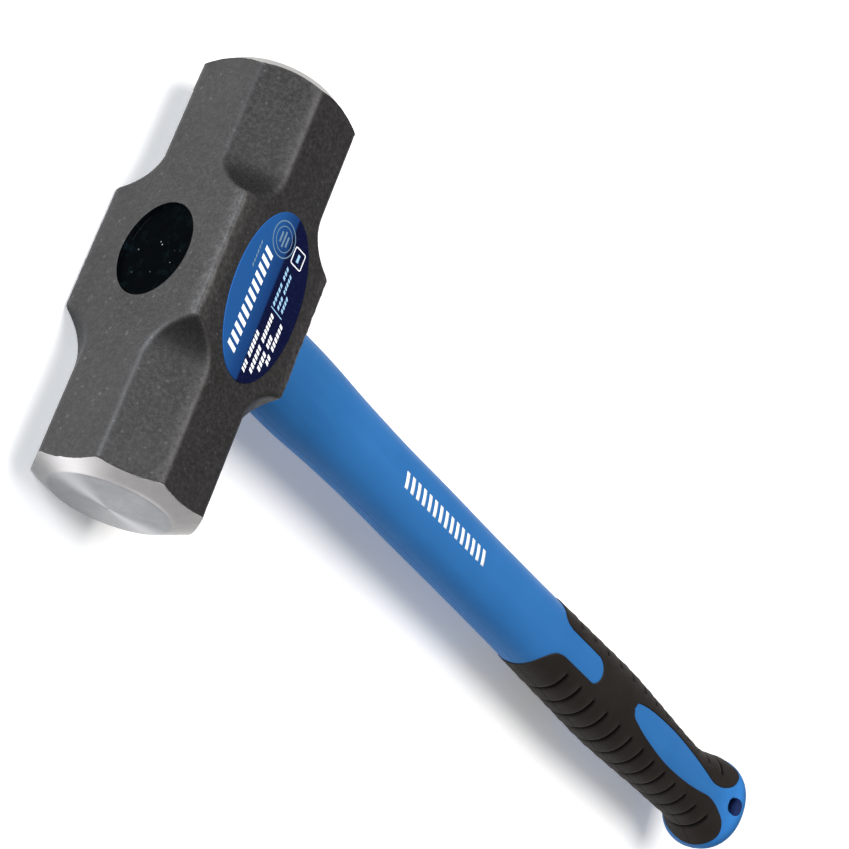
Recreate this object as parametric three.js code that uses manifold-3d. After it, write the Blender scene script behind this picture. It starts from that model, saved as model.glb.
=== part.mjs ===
// Lump hammer: a forged steel head with octagonal arms on an overmoulded fibreglass handle.
//
// Millimetres, +Z up. The hammer lies on its side: +X runs along the handle from the top of the
// head to the butt, +Y runs along the head towards one striking face, and the lower cheek of the
// head lies on z = 0. The origin is the middle of the bottom of the bounding box.
import * as THREE from 'three';
import { mergeVertices } from 'three/addons/utils/BufferGeometryUtils.js';
import Module from 'manifold-3d';

const wasm = await Module();
wasm.setup();

// ---- driving dimensions ----

const OVERALL_LENGTH = 406;
const FIT_GAP = 0.3;

const HEAD = {
  width: 46,              // square cheek, across flats of the octagonal arms as well
  paintedHalfLength: 62.3,
  cheekHalfLength: 19.2,  // from the eye to the corner where an arm's run-out starts
  edgeRadius: 3,
  flatHalfWidth: 10,      // half the width of each flat of an arm's octagon
  runOutRadius: 13.4,     // concave sweep from an arm's diagonal flat up to the cheek corner
  chamferAngle: 28,       // degrees from the plane of the striking face
  faceRadius: 18,         // rim of the crowned striking face
  crownHeight: 1.6,
  turnedSegments: 48,
};

const EYE = {
  topHalfLength: 14.25,   // along the head
  bottomHalfLength: 14,
  aspect: 0.8,            // across the head, relative to along it
  mouthChamfer: 0.7,
};

const FILL = { recess: 1.6, capThickness: 4 };

const CORE = { halfWidth: 9.5, halfThickness: 7.2, end: 378 };

const SPIGOT = { halfWidth: 12.8, halfThickness: 10.2, depth: 8 };

// Stations of the jacket: distance from the top of the head, half width, half thickness.
const HANDLE_STATIONS = [
  [46.3, 13.3, 11.0],
  [62, 14.0, 11.4],
  [80, 14.2, 11.5],
  [100, 13.4, 11.3],
  [124, 12.95, 11.2],
  [160, 13.25, 11.35],
  [200, 13.5, 11.6],
  [236, 14.0, 12.0],
  [270, 14.7, 12.5],
  [306, 15.5, 12.9],
  [332, 14.75, 12.6],
  [356, 13.85, 12.2],
  [374, 13.6, 12.0],
  [384, 14.3, 12.1],
  [391, 15.7, 12.9],
  [397, 17.4, 14.8],
  [401, 18.3, 16.7],
  [404.5, 17.8, 16.3],
  [406, 15.6, 14.2],
];
const SECTION = { exponent: 2.2, segments: 28 };

// The flare of the butt starts earlier on its +Y side, so the sections there are set off sideways.
const BUTT_OFFSET = { start: 370, end: 414, most: 1.5 };

const GRIP = { proud: 0.3, thickness: 2.6 };

// Half of each edge of the grip seen from above, as distance from the top of the head and y.
const TONGUE_EDGE = [[238, 13], [239, 10.6], [241.3, 7.9], [244.4, 5.9], [249, 4.95]];
const TONGUE_END = 275.3;
const WINDOW_EDGE = [
  [304, 0], [305.3, 2.2], [311, 3.8], [320, 5.1], [341, 6.35], [362, 5.4], [373, 4.1], [381.5, 2.85],
  [387, 3.4], [391.5, 5.0], [395.8, 7.4], [399.5, 11.5], [401.2, 18],
];

const GROOVES = { count: 13, first: 255.3, pitch: 10.96, width: 1.2, depth: 0.9, innerY: 7.4 };

const LANYARD_HOLE = { radius: 3.8, distance: 396.7, segments: 24 };

const LABEL = { distance: 23.5, halfLength: 25.6, halfWidth: 15.3, thickness: 0.4 };

// How far cutters run past what they cut, and how much the stock is longer than the piece.
const OVERRUN = 2;
const STOCK = 20;

// ---- helpers ----

const fromTop = (distance) => distance - OVERALL_LENGTH / 2;
const HALF_HEAD = HEAD.width / 2;
const radians = THREE.MathUtils.degToRad;

function toSolid(geometry) {
  const bare = geometry.index ? geometry.toNonIndexed() : geometry.clone();
  bare.deleteAttribute('normal');
  bare.deleteAttribute('uv');
  const merged = mergeVertices(bare, 1e-4);
  return new wasm.Manifold(new wasm.Mesh({
    numProp: 3,
    vertProperties: new Float32Array(merged.attributes.position.array),
    triVerts: new Uint32Array(merged.index.array),
  }));
}

function toGeometry(solid) {
  const mesh = solid.getMesh();
  const geometry = new THREE.BufferGeometry();
  geometry.setAttribute('position', new THREE.BufferAttribute(new Float32Array(mesh.vertProperties), 3));
  geometry.setIndex(new THREE.BufferAttribute(new Uint32Array(mesh.triVerts), 1));
  geometry.computeVertexNormals();
  return geometry;
}

function box(x0, x1, y0, y1, z0, z1) {
  const geometry = new THREE.BoxGeometry(x1 - x0, y1 - y0, z1 - z0);
  geometry.translate((x0 + x1) / 2, (y0 + y1) / 2, (z0 + z1) / 2);
  return toSolid(geometry);
}

// A closed solid through rings of points that all run the same way round.
function loftRings(rings) {
  const positions = [];
  const index = [];
  const count = rings[0].length;
  for (const ring of rings) {
    for (const point of ring) positions.push(point.x, point.y, point.z);
  }
  for (let r = 0; r + 1 < rings.length; r += 1) {
    for (let i = 0; i < count; i += 1) {
      const a = r * count + i;
      const b = r * count + ((i + 1) % count);
      index.push(a, b, a + count, b, b + count, a + count);
    }
  }
  const last = (rings.length - 1) * count;
  for (let i = 1; i + 1 < count; i += 1) {
    index.push(0, i + 1, i);
    index.push(last, last + i, last + i + 1);
  }
  const geometry = new THREE.BufferGeometry();
  geometry.setAttribute('position', new THREE.Float32BufferAttribute(positions, 3));
  geometry.setIndex(index);
  return toSolid(geometry);
}

// One superellipse across the handle.
function sectionRing(distance, halfWidth, halfThickness, exponent, offset = 0) {
  const ring = [];
  for (let i = 0; i < SECTION.segments; i += 1) {
    const angle = (2 * Math.PI * i) / SECTION.segments;
    const c = Math.cos(angle);
    const s = Math.sin(angle);
    const y = Math.sign(c) * halfWidth * Math.abs(c) ** (2 / exponent);
    const z = Math.sign(s) * halfThickness * Math.abs(s) ** (2 / exponent);
    ring.push(new THREE.Vector3(fromTop(distance), offset + y, HALF_HEAD + z));
  }
  return ring;
}

function ellipticRod(start, end, halfWidthStart, halfWidthEnd, aspect) {
  return loftRings([
    sectionRing(start, halfWidthStart, halfWidthStart * aspect, 2),
    sectionRing(end, halfWidthEnd, halfWidthEnd * aspect, 2),
  ]);
}

// Extrudes a plan outline, drawn in distance from the top of the head and y, from z = low to high.
function planPrism(shape, low, high, curveSegments = 24) {
  const geometry = new THREE.ExtrudeGeometry(shape, {
    depth: high - low, bevelEnabled: false, curveSegments,
  });
  geometry.translate(-OVERALL_LENGTH / 2, 0, low);
  return toSolid(geometry);
}

// ---- head ----

function roundedSquare(size, radius) {
  const h = size / 2;
  const shape = new THREE.Shape();
  shape.moveTo(-h + radius, -h);
  shape.lineTo(h - radius, -h);
  shape.absarc(h - radius, -h + radius, radius, -Math.PI / 2, 0);
  shape.lineTo(h, h - radius);
  shape.absarc(h - radius, h - radius, radius, 0, Math.PI / 2);
  shape.lineTo(-h + radius, h);
  shape.absarc(-h + radius, h - radius, radius, Math.PI / 2, Math.PI);
  shape.lineTo(-h, -h + radius);
  shape.absarc(-h + radius, -h + radius, radius, Math.PI, 1.5 * Math.PI);
  return shape;
}

// Everything outside one diagonal flat of an arm, with the concave run-out up to the cheek corner.
// It is drawn with u along the head and v out along the diagonal, then turned onto its corner.
function diagonalCutter(quarterTurn, end) {
  const facet = (HALF_HEAD + HEAD.flatHalfWidth) / Math.SQRT2;
  const corner = HALF_HEAD * Math.SQRT2;
  const rise = corner - facet;
  const radius = HEAD.runOutRadius;
  const run = Math.sqrt(radius ** 2 - (radius - rise) ** 2);
  const tangent = HEAD.cheekHalfLength + run;
  const sweep = Math.asin(run / radius);
  const beyond = HEAD.paintedHalfLength + STOCK;
  const shape = new THREE.Shape();
  shape.moveTo(beyond, facet);
  shape.lineTo(beyond, corner + STOCK);
  shape.lineTo(HEAD.cheekHalfLength, corner + STOCK);
  shape.lineTo(HEAD.cheekHalfLength, corner);
  shape.absarc(tangent, facet + radius, radius, -Math.PI / 2 - sweep, -Math.PI / 2, false);
  const reach = HEAD.width;
  const geometry = new THREE.ExtrudeGeometry(shape, {
    depth: 2 * reach, bevelEnabled: false, curveSegments: 9,
  });
  geometry.translate(0, 0, -reach);
  const along = new THREE.Vector3(0, end, 0);
  const angle = radians(45 + 90 * quarterTurn);
  const outwards = new THREE.Vector3(Math.cos(angle), 0, Math.sin(angle));
  const across = new THREE.Vector3().crossVectors(along, outwards);
  geometry.applyMatrix4(new THREE.Matrix4().makeBasis(along, outwards, across));
  geometry.translate(fromTop(HALF_HEAD), 0, HALF_HEAD);
  return toSolid(geometry);
}

// The turned envelope of the head: a coned chamfer and a shallow crown at both ends.
function turnedEnvelope() {
  const slope = Math.tan(radians(HEAD.chamferAngle));
  const cornerRadius = Math.hypot(HALF_HEAD, HEAD.flatHalfWidth);
  const faceY = HEAD.paintedHalfLength + (cornerRadius - HEAD.faceRadius) * slope;
  const clearRadius = HEAD.width;
  const clearY = HEAD.paintedHalfLength - (clearRadius - cornerRadius) * slope;
  const crownSphere = (HEAD.faceRadius ** 2 + HEAD.crownHeight ** 2) / (2 * HEAD.crownHeight);
  const crownSteps = 4;
  const upper = [];
  for (let i = 0; i <= crownSteps; i += 1) {
    const r = (HEAD.faceRadius * i) / crownSteps;
    const drop = crownSphere - Math.sqrt(crownSphere ** 2 - r ** 2);
    upper.push(new THREE.Vector2(r, faceY + HEAD.crownHeight - drop));
  }
  upper.push(new THREE.Vector2(clearRadius, clearY));
  const lower = upper.map((p) => new THREE.Vector2(p.x, -p.y));
  const geometry = new THREE.LatheGeometry([...lower, ...upper.reverse()], HEAD.turnedSegments);
  geometry.translate(fromTop(HALF_HEAD), 0, HALF_HEAD);
  return toSolid(geometry);
}

// Half the length of the eye along the head, which narrows slightly towards the handle.
function eyeHalfLength(distance) {
  return THREE.MathUtils.lerp(EYE.topHalfLength, EYE.bottomHalfLength, distance / HEAD.width);
}

function eyeCutter() {
  const start = -OVERRUN;
  const end = HEAD.width + OVERRUN;
  const taper = ellipticRod(start, end, eyeHalfLength(start), eyeHalfLength(end), EYE.aspect);
  const c = EYE.mouthChamfer;
  const mouth = ellipticRod(-c, c, EYE.topHalfLength + 2 * c, EYE.topHalfLength, EYE.aspect);
  return taper.add(mouth);
}

function makeHead() {
  const length = 2 * (HEAD.paintedHalfLength + STOCK);
  const bar = new THREE.ExtrudeGeometry(roundedSquare(HEAD.width, HEAD.edgeRadius), {
    depth: length, bevelEnabled: false, curveSegments: 4,
  });
  bar.translate(0, 0, -length / 2);
  bar.rotateX(-Math.PI / 2);
  bar.translate(fromTop(HALF_HEAD), 0, HALF_HEAD);
  let solid = toSolid(bar).intersect(turnedEnvelope());
  for (const end of [-1, 1]) {
    for (let quarterTurn = 0; quarterTurn < 4; quarterTurn += 1) {
      solid = solid.subtract(diagonalCutter(quarterTurn, end));
    }
  }
  return solid.subtract(eyeCutter());
}

// ---- what holds the head: resin fill and fibreglass core ----

function coreRod(start, end, growth) {
  const halfWidth = CORE.halfWidth + growth;
  const aspect = (CORE.halfThickness + growth) / halfWidth;
  return ellipticRod(start, end, halfWidth, halfWidth, aspect);
}

const CORE_START = FILL.recess + FILL.capThickness;
const SPIGOT_TOP = HEAD.width + FIT_GAP - SPIGOT.depth;

function makeEpoxyFill() {
  const top = FILL.recess;
  const bottom = SPIGOT_TOP - FIT_GAP;
  const topHalfLength = eyeHalfLength(top) - FIT_GAP;
  const bottomHalfLength = eyeHalfLength(bottom) - FIT_GAP;
  const plug = ellipticRod(top, bottom, topHalfLength, bottomHalfLength, EYE.aspect);
  return plug.subtract(coreRod(CORE_START - FIT_GAP, bottom + OVERRUN, FIT_GAP));
}

// ---- handle ----

const stationCurve = new THREE.CatmullRomCurve3(
  HANDLE_STATIONS.map(([distance, width, thickness]) => new THREE.Vector3(distance, width, thickness)),
  false, 'centripetal',
);
const profile = stationCurve.getPoints(2 * (HANDLE_STATIONS.length - 1));

// Distance, half width and half thickness of the section at any distance.
function profileAt(distance) {
  const below = profile.findLastIndex((p) => p.x < distance);
  const span = THREE.MathUtils.clamp(below, 0, profile.length - 2);
  const a = profile[span];
  const b = profile[span + 1];
  return a.clone().lerp(b, (distance - a.x) / (b.x - a.x));
}

function buttOffset(distance) {
  const t = (distance - BUTT_OFFSET.start) / (BUTT_OFFSET.end - BUTT_OFFSET.start);
  return BUTT_OFFSET.most * Math.sin(Math.PI * THREE.MathUtils.clamp(t, 0, 1)) ** 2;
}

// The handle's outside from start to end, with every section made larger by growth.
function handleLoft(growth, start, end) {
  const inside = profile.filter((p) => p.x > start + 1 && p.x < end - 1);
  const samples = [profileAt(start), ...inside, profileAt(end)];
  return loftRings(samples.map(
    (p) => sectionRing(p.x, p.y + growth, p.z + growth, SECTION.exponent, buttOffset(p.x)),
  ));
}

function smoothPoints(points) {
  const curve = new THREE.CatmullRomCurve3(
    points.map(([x, y]) => new THREE.Vector3(x, y, 0)), false, 'centripetal',
  );
  return curve.getPoints(3 * (points.length - 1)).map((p) => new THREE.Vector2(p.x, p.y));
}

// A plan area that is symmetric about the handle's axis, from the half of its outline on the +y
// side, with every point moved outwards by growth. The half runs clockwise.
function symmetricArea(half, growth) {
  const mirrored = half.filter((p) => p.y > 0).map((p) => new THREE.Vector2(p.x, -p.y)).reverse();
  const outline = [...half, ...mirrored];
  const count = outline.length;
  const grown = outline.map((point, i) => {
    const after = outline[(i + 1) % count];
    const before = outline[(i + count - 1) % count];
    const along = after.clone().sub(before).normalize();
    return new THREE.Vector2(point.x - along.y * growth, point.y + along.x * growth);
  });
  return planPrism(new THREE.Shape(grown), -STOCK, HEAD.width + STOCK);
}

// Everything of the jacket that shows: in front of the grip with the tongue that runs back into
// it, and behind the grip with the teardrop window that opens between two lobes at the butt.
function jacketArea(growth) {
  const tongue = smoothPoints(TONGUE_EDGE);
  const tongueHalfWidth = tongue.at(-1).y;
  const wide = HEAD.width;
  const tip = new THREE.Path().absarc(
    TONGUE_END - tongueHalfWidth, 0, tongueHalfWidth, Math.PI / 2, 0, true,
  );
  const front = [
    new THREE.Vector2(0, wide), new THREE.Vector2(tongue[0].x, wide), ...tongue, ...tip.getPoints(8),
  ];
  const window = smoothPoints(WINDOW_EDGE);
  const rear = [
    ...window,
    new THREE.Vector2(window.at(-1).x, wide),
    new THREE.Vector2(OVERALL_LENGTH + STOCK, wide),
  ];
  return symmetricArea(front, growth).add(symmetricArea(rear, growth));
}

const GRIP_FRONT = TONGUE_EDGE[0][0];
const GRIP_END = WINDOW_EDGE.at(-1)[0];
const POCKET_DEPTH = GRIP.thickness - GRIP.proud + FIT_GAP;

function makeJacket() {
  const outside = handleLoft(0, HEAD.width + FIT_GAP, OVERALL_LENGTH);
  const underGrip = handleLoft(-POCKET_DEPTH, GRIP_FRONT - OVERRUN, GRIP_END + OVERRUN);
  const spigotAspect = SPIGOT.halfThickness / SPIGOT.halfWidth;
  const spigot = ellipticRod(
    SPIGOT_TOP, HEAD.width + OVERRUN, SPIGOT.halfWidth, SPIGOT.halfWidth, spigotAspect,
  );
  const hole = new THREE.CylinderGeometry(
    LANYARD_HOLE.radius, LANYARD_HOLE.radius, 2 * HEAD.width, LANYARD_HOLE.segments,
  );
  hole.rotateX(Math.PI / 2);
  hole.translate(fromTop(LANYARD_HOLE.distance), 0, HALF_HEAD);
  return outside.intersect(jacketArea(0))
    .add(underGrip)
    .add(spigot)
    .subtract(coreRod(SPIGOT_TOP - OVERRUN, CORE.end + FIT_GAP, FIT_GAP))
    .subtract(toSolid(hole));
}

// Grooves across both sides of the grip, open towards the outside.
function grooveCutters() {
  const outside = handleLoft(GRIP.proud + OVERRUN, GRIP_FRONT, GRIP_END + OVERRUN);
  const inside = handleLoft(
    GRIP.proud - GROOVES.depth, GRIP_FRONT - OVERRUN, GRIP_END + 2 * OVERRUN,
  );
  const outerY = HEAD.width;
  const slabs = [];
  for (let i = 0; i < GROOVES.count; i += 1) {
    const start = fromTop(GROOVES.first + i * GROOVES.pitch) - GROOVES.width / 2;
    const end = start + GROOVES.width;
    slabs.push(box(start, end, GROOVES.innerY, outerY, -STOCK, HEAD.width + STOCK));
    slabs.push(box(start, end, -outerY, -GROOVES.innerY, -STOCK, HEAD.width + STOCK));
  }
  return outside.subtract(inside).intersect(wasm.Manifold.union(slabs));
}

function makeGrip() {
  const outside = handleLoft(GRIP.proud, GRIP_FRONT - OVERRUN, GRIP_END + OVERRUN);
  const inside = handleLoft(
    GRIP.proud - GRIP.thickness, GRIP_FRONT - 2 * OVERRUN, GRIP_END + 2 * OVERRUN,
  );
  return outside.subtract(inside).subtract(jacketArea(FIT_GAP)).subtract(grooveCutters());
}

// ---- label ----

function makeLabel() {
  const shape = new THREE.Shape();
  shape.absellipse(LABEL.distance, 0, LABEL.halfWidth, LABEL.halfLength, 0, 2 * Math.PI);
  return planPrism(shape, HEAD.width + FIT_GAP, HEAD.width + FIT_GAP + LABEL.thickness);
}

// ---- assembly ----

function material(color, roughness, metalness) {
  return new THREE.MeshStandardMaterial({ color, roughness, metalness });
}

const pieces = {
  head: [makeHead(), material(0x35343a, 0.75, 0.3)],
  epoxy_fill: [makeEpoxyFill(), material(0x07090a, 0.1, 0)],
  core_rod: [coreRod(CORE_START, CORE.end, 0), material(0xb9a25a, 0.5, 0)],
  jacket: [makeJacket(), material(0x2e76b8, 0.5, 0)],
  grip: [makeGrip(), material(0x25231f, 0.9, 0)],
  label: [makeLabel(), material(0x1f4f94, 0.35, 0)],
};

const hammer = new THREE.Group();
hammer.name = 'lump_hammer';
for (const [name, [solid, finish]] of Object.entries(pieces)) {
  const mesh = new THREE.Mesh(toGeometry(solid), finish);
  mesh.name = name;
  hammer.add(mesh);
}

export default hammer;
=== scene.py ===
"""Looks for the lump hammer: detailed meshes, materials, light and camera around the CAD frame.

Everything is in metres in the frame's own axes: +X from the top of the head to the butt, +Y along
the head, +Z up through the cheek with the label. Sizes of the hammer are in millimetres.
"""
import math

import bmesh
import bpy
import numpy as np
from mathutils import Matrix, Vector, noise


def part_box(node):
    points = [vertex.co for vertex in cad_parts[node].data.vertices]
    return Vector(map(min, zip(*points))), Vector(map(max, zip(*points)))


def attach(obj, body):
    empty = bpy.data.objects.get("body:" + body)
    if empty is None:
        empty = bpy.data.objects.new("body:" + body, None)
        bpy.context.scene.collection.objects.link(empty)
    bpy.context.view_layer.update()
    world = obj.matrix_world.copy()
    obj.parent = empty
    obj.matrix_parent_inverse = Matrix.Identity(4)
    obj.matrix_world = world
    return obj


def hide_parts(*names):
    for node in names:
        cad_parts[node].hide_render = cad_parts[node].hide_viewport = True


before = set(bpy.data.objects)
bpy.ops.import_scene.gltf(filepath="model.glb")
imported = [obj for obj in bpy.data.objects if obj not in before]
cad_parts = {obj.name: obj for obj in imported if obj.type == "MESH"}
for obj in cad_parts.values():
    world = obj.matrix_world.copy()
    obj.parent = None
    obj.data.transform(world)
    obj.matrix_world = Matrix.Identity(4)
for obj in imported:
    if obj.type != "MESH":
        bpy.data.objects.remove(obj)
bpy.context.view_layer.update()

MM = 0.001

# ---- places and sizes from the frame ----

HEAD_LOW, HEAD_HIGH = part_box("head")
TOP_X = HEAD_LOW.x
HEAD_X = (HEAD_LOW.x + HEAD_HIGH.x) / 2
MID_Z = (HEAD_LOW.z + HEAD_HIGH.z) / 2
HALF_HEAD = (HEAD_HIGH.z - HEAD_LOW.z) / 2 / MM
HALF_HEAD_LENGTH = (HEAD_HIGH.y - HEAD_LOW.y) / 2 / MM
LABEL_LOW, LABEL_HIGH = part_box("label")
RESIN_LOW, RESIN_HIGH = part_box("epoxy_fill")
CORE_LOW, CORE_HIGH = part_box("core_rod")

# ---- sizes that the frame's boxes don't give, in millimetres ----

HEAD = {
    "facet_half_width": 10.0,   # half of each flat of an arm's octagon
    "run_out_start": 19.2,      # along the head, where it leaves the cheek's corner
    "run_out_radius": 13.4,
    "cheek_rounding": 1.3,
    "arm_rounding": 0.9,
    "worn_reach": 3.2,          # how far from an edge the paint is rubbed
    "ragged_paint": 0.12,       # how far the paint's edge strays from the turned steel's
    "rim_rounding": 0.4,        # between the face and its chamfer
}
# Both ends are turned round an axis a little off the middle of the forging. By the sign of Y:
# the angle of the chamfer, and the radius and crown of the face inside it.
TURNED = {
    -1: {"angle": math.radians(28), "radius": 17.8, "crown": 1.15},
    1: {"angle": math.radians(39.5), "radius": 18.0, "crown": 1.6},
}
TURNING_AXIS_X = -1.0
EYE = {"half_length": 14.6, "aspect": 0.78, "taper": 0.25, "mouth": 0.35}
RESIN = {"meniscus": 0.45, "unevenness": 0.16, "side_gap": 0.02, "foot_gap": 0.3}
SPIGOT = {"half_width": 12.8, "half_thickness": 10.2, "start": 38.3}
CORE_CLEARANCE = 0.2
# How deep the forging's hollows and pits are, and the ragged corners where its flash was trimmed.
FORGED = {"hollows": 0.07, "pitting": 0.025, "flash": 0.42, "flash_width": 0.018}

# Distance from the top of the head, half width, half thickness.
HANDLE_STATIONS = [
    (46.3, 13.3, 11.0), (62, 14.0, 11.4), (80, 14.2, 11.5), (100, 13.4, 11.3), (124, 12.95, 11.2),
    (160, 13.25, 11.35), (200, 13.5, 11.6), (236, 14.0, 12.0), (270, 14.7, 12.5), (306, 15.5, 12.9),
    (332, 14.75, 12.6), (356, 13.85, 12.2), (374, 13.6, 12.0), (384, 14.3, 12.1), (391, 15.7, 12.9),
    (397, 17.4, 14.8), (401, 18.3, 16.7), (404.5, 17.8, 16.3), (406, 15.6, 14.2),
]
HANDLE_START = HANDLE_STATIONS[0][0]
HANDLE_END = HANDLE_STATIONS[-1][0]
SECTION_EXPONENT = 2.2
BUTT_OFFSET = {"start": 370, "end": 414, "most": 1.5}

# Half of each edge of the grip seen from above: distance from the top of the head, and y.
TONGUE_EDGE = [(238, 13), (239, 10.6), (241.3, 7.9), (244.4, 5.9), (249, 4.95)]
TONGUE_END = 275.3
WINDOW_EDGE = [
    (304, 0), (305.3, 2.2), (311, 3.8), (320, 5.1), (341, 6.35), (362, 5.4), (373, 4.1),
    (381.5, 2.85), (387, 3.3), (391.5, 4.7), (395.6, 7.3), (398.6, 11.5), (400.2, 18),
]
GRIP = {
    "proud": 0.3, "edge_radius": 0.45, "edge_sunk": 0.25, "thickness": 1.3, "pocket": 1.4,
    "weld": 0.02,
}
# The moulding isn't quite even: its front edge starts later on the +Y side, and its back edge
# ends sooner underneath, and by a further factor on the +Y side.
GRIP_SHIFT = {"front": 5.0, "front_fade": 14, "back": 2.6, "back_fade": 15, "back_on_far_side": 2.0}
GROOVES = {"count": 13, "first": 255.8, "pitch": 10.97, "inner_y": 7.9, "inner_fade": 1.6, "bow": 1.1}
# Where the bow of the grip's rows fades in, and where it fades out.
BOW_START = (246, 256)
BOW_END = (386, 396)
# One groove across its width: distance from its middle, and height.
GROOVE_PROFILE = [
    (-4.5, 0), (-2.2, 0.05), (-1.2, 0.14), (-0.75, 0.1), (-0.4, -0.45), (-0.1, -0.95), (0.7, -0.95),
    (1.15, -0.4), (2.4, -0.1), (4.5, 0),
]
# Where the grip's mesh has a row across a groove, measured from its middle.
GROOVE_ROWS = (-2.2, -1.2, -0.85, -0.6, -0.4, -0.1, 0.35, 0.7, 0.9, 1.15, 1.7, 2.4)
HOLE = {"distance": 397.5, "radius": 2.7, "stretch": 1.18, "mouth": 0.25}
PARTING = {"height": 0.12, "half_width": 0.16}
JACKET_RIPPLE = 0.05
GRIP_RIPPLE = 0.03

FILM = {"half_length": 25.6, "half_width": 15.3, "top": 46.15, "thickness": 0.4}
INK_HEIGHT = 0.02
INK_THICKNESS = 0.08
# Two generic striped marks, on the label and on the handle. share is the inked part of the pitch.
LABEL_MARK = {
    "across": -6.0, "start": -19.5, "end": 12.3, "height": 4.0, "stripes": 12, "share": 0.55,
    "slant": -1.1,
}
HANDLE_MARK = {
    "start": 128.5, "end": 185.0, "middle_y": -0.8, "height": 4.9, "stripes": 15, "share": 0.5,
    "slant": -1.6, "thickness": 0.12,
}
# Rows of plain dashes on the label: across, start and end along it, height, ink.
LABEL_ROWS = [
    (1.9, -21.9, -18.4, 1.5, "white"), (1.9, -17.2, -9.3, 1.5, "white"),
    (4.9, -20.6, -12.2, 1.5, "white"), (4.9, -11.0, -2.3, 1.5, "white"),
    (7.75, -18.4, -12.6, 1.5, "white"), (7.75, -11.3, -7.5, 1.5, "white"),
    (10.0, -15.3, -12.2, 1.4, "white"), (10.0, -10.9, -2.6, 1.4, "white"),
    (3.7, -0.2, 6.9, 1.0, "pale"), (3.7, 7.9, 12.0, 1.0, "pale"),
    (6.0, -0.2, 3.9, 1.0, "pale"), (6.0, 4.8, 10.8, 1.0, "pale"),
    (8.0, -0.1, 5.0, 1.0, "pale"), (-10.2, 3.6, 11.9, 0.6, "grey"),
]
DASH = {"pitch": 1.3, "share": 0.68, "slant": -0.5}
DIVIDER = {"across": 6.0, "start": -1.5, "end": -1.2, "height": 6.0, "slant": -0.6}
# Two rings round three bars, each bar given by its place across and half its length.
EMBLEM = {
    "across": -2.2, "along": 17.1, "rings": [(5.3, 4.95), (3.75, 3.5)],
    "bars": [(-1.5, 1.6), (0, 2.4), (1.5, 1.6)], "bar_height": 0.7,
}
BADGE = {
    "across": 6.15, "along": 16.1, "half": 2.7, "corner": 0.8, "line": 0.35, "bar_half": 1.2,
    "bar_height": 1.0,
}

# ---- studio, in metres ----

FLOOR_HALF_SIZE = 6.0
FLOOR_DROP = 0.0002
FLOOR_GLOW = 0.2
WORLD_STRENGTH = 0.22
# Name, position, size, power in watts, colour.
LIGHTS = [
    ("side", (-1.6, 0.0, 0.2), 0.9, 56, (0.89, 0.94, 1.0)),
    ("top", (-0.4, 0.5, 2.0), 1.7, 50, (1.0, 0.97, 0.94)),
]


# ---- mesh helpers ----

def full_turn(count):
    """Evenly spaced angles round a full turn."""
    return np.arange(count) * 2 * math.pi / count


def add_object(name, data):
    obj = bpy.data.objects.new(name, data)
    bpy.context.scene.collection.objects.link(obj)
    return obj


class Shell:
    """Collects points and faces, in millimetres from the frame's origin, for one object."""

    def __init__(self):
        self.points = []
        self.faces = []
        self.slots = []
        self.count = 0

    def add(self, points):
        points = np.asarray(points, float)
        ids = self.count + np.arange(points[..., 0].size).reshape(points.shape[:-1])
        self.points.append(points.reshape(-1, 3))
        self.count += ids.size
        return ids

    def face(self, ids, slot=0):
        self.faces.append(tuple(int(i) for i in ids))
        self.slots.append(slot)

    def grid(self, ids, slot=0, closed=True, slot_rows=None):
        """Quads between the rows of ids. slot_rows gives a slot for each row of quads."""
        after = np.roll(ids, -1, axis=1) if closed else ids[:, 1:]
        here = ids if closed else ids[:, :-1]
        quads = np.stack([here[:-1], after[:-1], after[1:], here[1:]], axis=-1)
        for row, row_quads in enumerate(quads):
            row_slot = slot if slot_rows is None else slot_rows[row]
            self.faces.extend(map(tuple, row_quads.tolist()))
            self.slots.extend([row_slot] * len(row_quads))

    def fan(self, ring, centre, slot=0, flip=False):
        for a, b in zip(ring, np.roll(ring, -1)):
            self.face((b, a, centre) if flip else (a, b, centre), slot)

    def slab(self, top, drop, slot=0, closed=False):
        """A thin closed sheet below a grid of points. closed joins its last column to its first."""
        upper = self.add(top)
        lower = self.add(np.asarray(top, float) - drop)
        self.grid(upper, slot, closed)
        self.grid(lower[::-1], slot, closed)
        for wall in ((lower[0], upper[0]), (upper[-1], lower[-1])):
            self.grid(np.array(wall), slot, closed)
        if not closed:
            self.grid(np.array([upper[:, 0], lower[:, 0]]), slot, False)
            self.grid(np.array([lower[:, -1], upper[:, -1]]), slot, False)

    def build(self, name, materials, smooth=True):
        mesh = bpy.data.meshes.new(name)
        points = np.concatenate(self.points) * MM
        mesh.from_pydata(points.tolist(), [], self.faces)
        for material in materials:
            mesh.materials.append(material)
        mesh.polygons.foreach_set("material_index", self.slots)
        mesh.polygons.foreach_set("use_smooth", [smooth] * len(self.faces))
        shape = bmesh.new()
        shape.from_mesh(mesh)
        bmesh.ops.recalc_face_normals(shape, faces=shape.faces)
        shape.to_mesh(mesh)
        shape.free()
        return add_object(name, mesh)


def set_attribute(obj, name, values):
    attribute = obj.data.attributes.new(name, "FLOAT", "POINT")
    attribute.data.foreach_set("value", np.asarray(values, np.float32).ravel())


def modify(obj, kind, **settings):
    """Gives obj the mesh that one modifier makes of it."""
    modifier = obj.modifiers.new(kind, kind)
    for key, value in settings.items():
        setattr(modifier, key, value)
    bpy.context.view_layer.update()
    evaluated = obj.evaluated_get(bpy.context.evaluated_depsgraph_get())
    mesh = bpy.data.meshes.new_from_object(evaluated)
    obj.modifiers.clear()
    obj.data = mesh


def cut(obj, cutter):
    """Subtracts a closed cutter from obj, and removes the cutter."""
    modify(obj, "BOOLEAN", operation="DIFFERENCE", solver="EXACT", object=cutter)
    bpy.data.objects.remove(cutter)


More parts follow.
